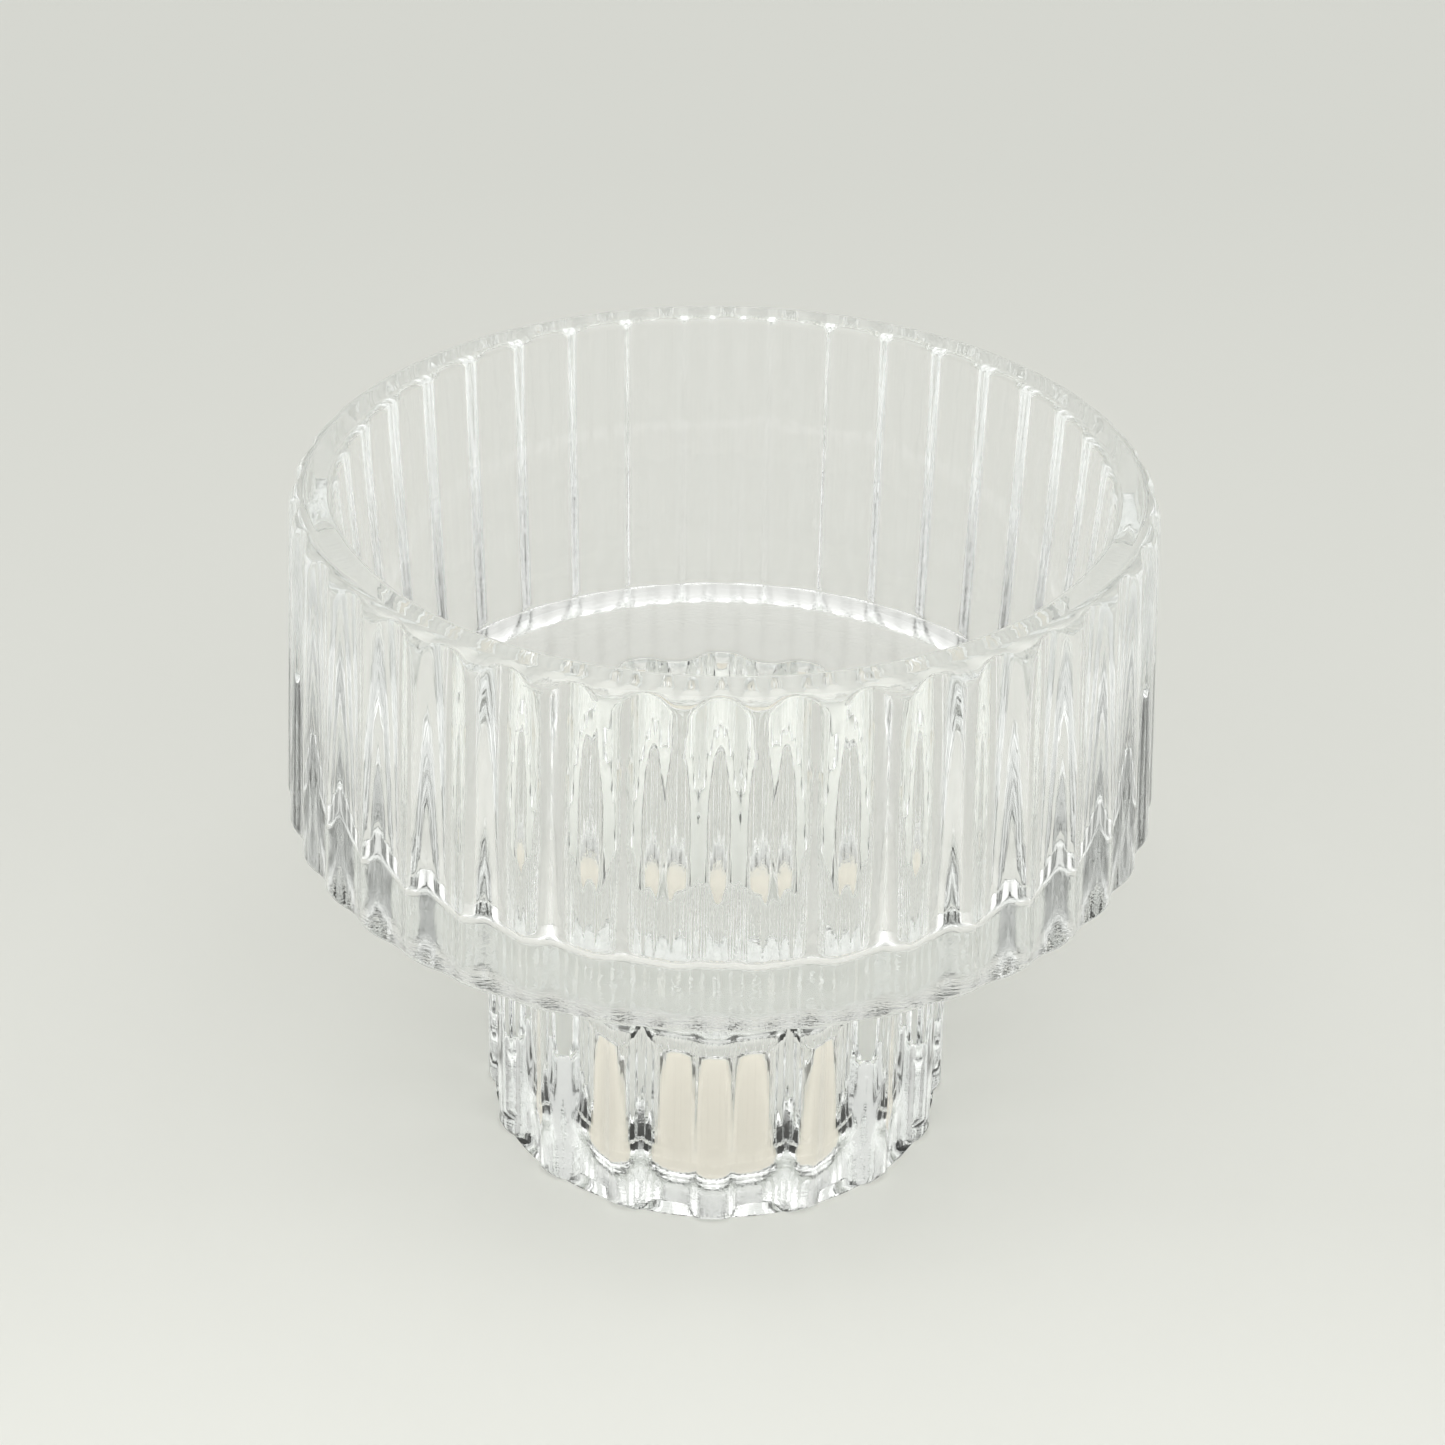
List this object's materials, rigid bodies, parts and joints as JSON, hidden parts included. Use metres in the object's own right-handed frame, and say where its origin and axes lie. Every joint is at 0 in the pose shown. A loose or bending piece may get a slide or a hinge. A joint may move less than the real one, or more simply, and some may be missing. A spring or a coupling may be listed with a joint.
{
  "type": "tealight holder",
  "caption": "Clear ribbed glass candle holder: a round fluted bowl for a tealight on a fluted foot, with a socket under the foot for a taper candle.",
  "frame": {"origin": "centre of the foot's base, on the surface that it stands on, with the bowl up", "axes": "+Z is the holder's axis, up through the bowl; -Y is the side seen from the front"},
  "size_m": [0.0834, 0.0834, 0.069],
  "materials": {
    "clear_glass": "clear pressed glass, fire polished, with a faint green-grey tint in the thick parts"
  },
  "bodies": {
    "root": {"glass_holder": "clear_glass"}
  },
  "joints": []
}
